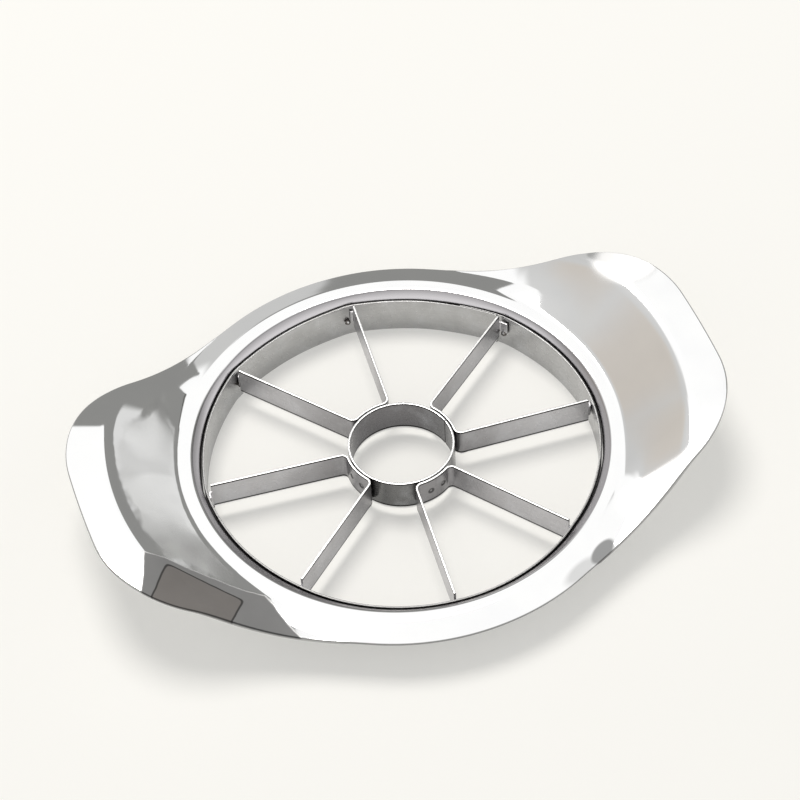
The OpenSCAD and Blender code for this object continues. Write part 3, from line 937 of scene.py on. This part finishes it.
FLOOR_HALF = 4000.0                     # in mm, like all meshes
PAPER, PAPER_ROUGH = (0.915, 0.91, 0.88, 1.0), 0.9
EVEN_FLOOR, EVEN_SHARE = (0.975, 0.967, 0.935, 1.0), 0.35


def looked_at(t):
    """1 for the rays of the camera and of mirrors, 0 for those that light the surfaces."""
    path = t.add("ShaderNodeLightPath").outputs
    return t.math("MAXIMUM", path["Is Camera Ray"], path["Is Glossy Ray"])


def make_floor():
    """A sheet of paper with a share of even white, as overexposed paper has in a photo."""
    h = FLOOR_HALF
    obj = add_object("floor", [(-h, -h, 0), (h, -h, 0), (h, h, 0), (-h, h, 0)], [(0, 1, 2, 3)])
    material = bpy.data.materials.new("floor_paper")
    t = Tree(material)
    paper = t.add("ShaderNodeBsdfPrincipled", {"Base Color": PAPER, "Roughness": PAPER_ROUGH,
                                               "Specular IOR Level": 0.0})
    even = t.add("ShaderNodeEmission", {"Color": EVEN_FLOOR, "Strength": 1.0})
    shader = t.add("ShaderNodeMixShader", {0: t.product(looked_at(t), EVEN_SHARE),
                                           1: paper.outputs[0], 2: even.outputs[0]})
    t.add("ShaderNodeOutputMaterial", {"Surface": shader.outputs[0]})
    obj.data.materials.append(material)


# The studio's panels in degrees of azimuth and elevation, and their greys
PANEL_END = 78.0
PALE_SPAN, PALE_GREYS = (-76.0, 20.0), (0.61, 0.72)
SHELF_START, SHELF_HEIGHTS, SHELF_GREY = 37.0, (45.0, 53.5), 0.50
DARK_START, DARK_GREY = 10.8, 0.28
RAIL_START, RAIL_W, RAIL_GREY = 30.0, 1.5, 0.08
LAMP_START, LAMP_TOP, LAMP_GREY = 45.0, 28.0, 0.76
LAMP_MIDDLE, LAMP_LEAN = 9.0, 0.6       # its border leans about this elevation
WARM_SPAN, WARM_HEIGHTS, WARMTH = (-62.0, -30.0), (20.0, 40.0), 0.08
BLUE_LOSS = 0.01
BACKDROP = (0.985, 0.98, 0.955, 1.0)    # what the camera sees behind the floor
FILL_STRENGTH = 0.55


def make_world():
    """A white studio with grey panels behind the object, which the polished sheet reflects: a
    pale one on the left, and on the right a dark one with a black rail along its top, a shelf
    above it and a lamp's light in its lower right. Azimuth 0 is away from the camera along +Y
    and 90 is +X."""
    world = bpy.data.worlds.new("studio")
    bpy.context.scene.world = world
    t = Tree(world)
    way = t.axes(t.add("ShaderNodeTexCoord").outputs["Generated"])
    azimuth = t.math("DEGREES", t.math("ARCTAN2", way["X"], way["Y"]))
    height = t.math("DEGREES", t.math("ARCSINE", way["Z"]))
    in_span = t.fall(azimuth, PANEL_END, 3.0)
    value = t.remap(height, -10.0, 10.0, 0.9, 1.08)

    # The pale panel's top comes down to the right in two slopes.
    pale_top = t.minus(t.remap(azimuth, -36.0, -20.0, 62.0, 45.0),
                       t.remap(azimuth, -16.0, -5.0, 0.0, 13.0))
    pale = t.product(t.step(azimuth, PALE_SPAN[0], 5.0), t.fall(azimuth, PALE_SPAN[1], 2.0),
                     t.fall(t.minus(height, pale_top), 0.0, 5.0))
    value = t.mix_value(pale, value, t.remap(height, 30.0, 55.0, *PALE_GREYS))

    shelf = t.product(t.step(azimuth, SHELF_START, 2.0), in_span,
                      t.window(height, *SHELF_HEIGHTS, 1.0))
    value = t.mix_value(shelf, value, SHELF_GREY)

    # The dark panel's left border leans outwards on its way up, more above 16 degrees, and its
    # top rises to the right.
    border = t.plus(azimuth, t.plus(t.remap(height, -4.0, 16.0, -6.0, 0.0),
                                    t.remap(height, 16.0, 25.0, 0.0, 6.8)))
    dark = t.product(t.step(border, DARK_START, 0.5), in_span)
    under_top = t.minus(height, t.remap(azimuth, 24.0, 31.0, 39.0, 49.0))
    value = t.mix_value(t.product(dark, t.fall(under_top, 0.0, 1.2)), value, DARK_GREY)
    rail = t.product(dark, t.step(azimuth, RAIL_START, 2.0),
                     t.window(under_top, -RAIL_W, 0.0, 0.6))
    value = t.mix_value(rail, value, RAIL_GREY)

    lamp_side = t.minus(azimuth, t.product(t.minus(height, LAMP_MIDDLE), LAMP_LEAN))
    lamp = t.product(t.step(lamp_side, LAMP_START, 1.5), in_span, t.fall(height, LAMP_TOP, 2.0))
    value = t.mix_value(lamp, value, LAMP_GREY)

    warm = t.product(t.window(azimuth, *WARM_SPAN, 8.0), t.window(height, *WARM_HEIGHTS, 5.0),
                     WARMTH)
    colour = t.colour(value, t.minus(value, t.product(warm, 0.5)),
                      t.minus(value, t.plus(warm, BLUE_LOSS)))
    from_camera = t.add("ShaderNodeLightPath").outputs["Is Camera Ray"]
    strength = t.remap(looked_at(t), 0.0, 1.0, FILL_STRENGTH, 1.0)
    shader = t.add("ShaderNodeBackground", {"Color": t.mix(from_camera, colour, BACKDROP),
                                            "Strength": strength})
    t.add("ShaderNodeOutputWorld", {"Surface": shader.outputs[0]})


KEY_AT = Vector((-0.064, 0.72, 1.76))
KEY_SIZE, KEY_POWER, KEY_COLOUR = 0.96, 21.5, (1.0, 0.97, 0.93)


def make_key_light():
    """A round lamp behind the object, turned to its middle."""
    data = bpy.data.lights.new("key", "AREA")
    data.shape = "DISK"
    data.size, data.energy, data.color = KEY_SIZE, KEY_POWER, KEY_COLOUR
    obj = bpy.data.objects.new("key", data)
    obj.location = KEY_AT
    obj.rotation_mode = "QUATERNION"
    obj.rotation_quaternion = (-KEY_AT).to_track_quat("-Z", "Y")
    bpy.context.scene.collection.objects.link(obj)


make_floor()
make_world()
make_key_light()
bpy.context.scene.view_settings.view_transform = "Standard"
